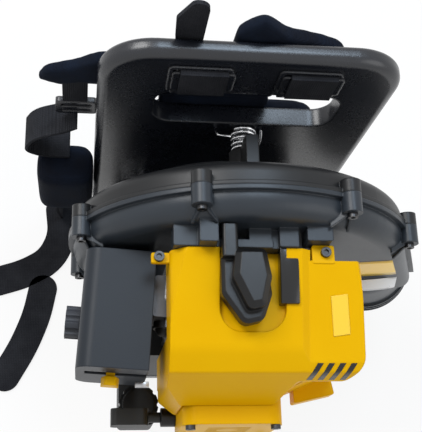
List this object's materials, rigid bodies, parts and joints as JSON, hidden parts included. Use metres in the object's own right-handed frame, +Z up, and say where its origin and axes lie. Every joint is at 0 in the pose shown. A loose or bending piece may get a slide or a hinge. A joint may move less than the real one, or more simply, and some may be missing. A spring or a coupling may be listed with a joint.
{
  "type": "backpack leaf blower",
  "caption": "Engine-driven backpack leaf blower: scroll fan housing with a round downward outlet, sprung on a frame with carry handle, foot and shoulder harness.",
  "frame": {"origin": "middle of the footprint of the whole machine, at ground level", "axes": "+Z up, +X to the wearer's right, +Y from the engine towards the wearer"},
  "size_m": [0.4878, 0.327, 0.469],
  "materials": {
    "shell_black": "satin moulded nylon",
    "frame_black": "smooth satin black",
    "cover_yellow": "glossy coloured moulding",
    "lever_yellow": "glossy coloured moulding",
    "filter_grey": "satin",
    "knob_grey": "satin",
    "cap_black": "glossy",
    "tank_plastic": "satin blow-moulded",
    "cast_alloy": "as cast",
    "steel": "machined",
    "screw_steel": "blackened",
    "spring_wire": "bright zinc",
    "plug_body": "glazed insulator with steel shell",
    "coil_black": "potted",
    "rubber_black": "moulded",
    "primer_rubber": "clear-ish moulded",
    "exhaust_steel": "heat-proof black",
    "filter_foam": "open foam",
    "rope_white": "braided",
    "pad_fabric": "woven over foam",
    "webbing": "woven tape"
  },
  "bodies": {
    "frame": {"back_frame": "frame_black", "rubber_feet": "rubber_black", "back_cushion": "pad_fabric", "shoulder_pad_left": "pad_fabric", "shoulder_pad_right": "pad_fabric", "lift_strap": "webbing", "strap_bars": "frame_black", "anchor_webbing": "webbing", "ladder_lock": "frame_black", "waist_pad": "pad_fabric", "waist_webbing": "webbing", "ground_straps": "webbing", "isolator_springs": "spring_wire"},
    "power_unit": {"fan_housing_front": "shell_black", "fan_housing_rear": "shell_black", "intake_grille": "shell_black", "housing_screws": "screw_steel", "crankcase_rear": "cast_alloy", "crankcase_front": "cast_alloy", "crank_bearings": "steel", "crank_seals": "rubber_black", "cylinder": "cast_alloy", "spark_plug": "plug_body", "plug_cap": "cap_black", "plug_lead": "rubber_black", "ignition_coil": "coil_black", "starter_housing": "cover_yellow", "engine_screws": "screw_steel", "recoil_spring": "steel", "rope_guide": "cap_black", "insulator": "shell_black", "carburettor": "cast_alloy", "filter_base": "filter_grey", "choke_pin": "steel", "filter_element": "filter_foam", "muffler_gasket": "exhaust_steel", "muffler": "exhaust_steel", "engine_cover": "cover_yellow", "fuel_tank": "tank_plastic", "fuel_line": "rubber_black", "tank_mounts": "rubber_black"},
    "crank": {"crankshaft": "steel", "impeller": "shell_black", "impeller_nut": "steel", "flywheel": "cast_alloy", "starter_pawls": "steel"},
    "piston": {"piston": "cast_alloy", "piston_rings": "steel", "connecting_rod": "steel", "rod_pins": "steel"},
    "pulley": {"starter_pulley": "shell_black", "rope_coil": "rope_white"},
    "grip": {"starter_grip": "rubber_black", "starter_rope": "rope_white"},
    "choke": {"choke_lever": "lever_yellow"},
    "throttle": {"throttle_lever": "steel"},
    "primer": {"primer_bulb": "primer_rubber"},
    "filter_lid": {"filter_cover": "filter_grey"},
    "lid_knob": {"filter_knob": "knob_grey"},
    "tank_cap": {"fuel_cap": "cap_black"}
  },
  "joints": [
    {"name": "isolator_give", "type": "slide", "parent": "frame", "child": "power_unit", "axis": [0, 1, 0], "range_m": [-0.003, 0.003], "stiffness_N_per_m": 30000, "deforming": ["isolator_springs"]},
    {"name": "crank_spin", "type": "hinge", "parent": "power_unit", "child": "crank", "pos_m": [0.01411, 0.0225, 0.225], "axis": [0, 1, 0], "continuous": true},
    {"name": "piston_stroke", "type": "slide", "parent": "power_unit", "child": "piston", "axis": [0, 0, -1], "range_m": [0, 0.034]},
    {"name": "rope_pull", "type": "slide", "parent": "power_unit", "child": "grip", "axis": [-1, 0, 0], "range_m": [0, 0.7]},
    {"name": "pulley_turn", "type": "hinge", "parent": "power_unit", "child": "pulley", "pos_m": [0.01411, 0.0225, 0.225], "axis": [0, 1, 0], "range_deg": [0, 1400]},
    {"name": "choke_turn", "type": "hinge", "parent": "power_unit", "child": "choke", "pos_m": [-0.09542, -0.08794, 0.285], "axis": [0, 0, 1], "range_deg": [-12, 12]},
    {"name": "throttle_turn", "type": "hinge", "parent": "power_unit", "child": "throttle", "pos_m": [-0.04674, -0.05124, 0.285], "axis": [0, 0, -1], "range_deg": [0, 75], "stiffness_Nm_per_rad": 0.02, "springref_deg": -17.19},
    {"name": "primer_press", "type": "slide", "parent": "power_unit", "child": "primer", "axis": [0.0698, 0.9976, 0], "range_m": [0, 0.004], "stiffness_N_per_m": 800},
    {"name": "lid_off", "type": "slide", "parent": "power_unit", "child": "filter_lid", "axis": [-0.9976, 0.0698, 0], "range_m": [0, 0.1]},
    {"name": "knob_turn", "type": "hinge", "parent": "filter_lid", "child": "lid_knob", "pos_m": [-0.12532, -0.0668, 0.265], "axis": [-0.9976, 0.0698, 0], "continuous": true},
    {"name": "cap_turn", "type": "hinge", "parent": "power_unit", "child": "tank_cap", "pos_m": [-0.06589, -0.1275, 0.168], "axis": [0, 0, 1], "range_deg": [0, 270]}
  ],
  "couplings": [
    {"joint": "pulley_turn", "follows": "rope_pull", "rad_per_m": 34.483}
  ]
}
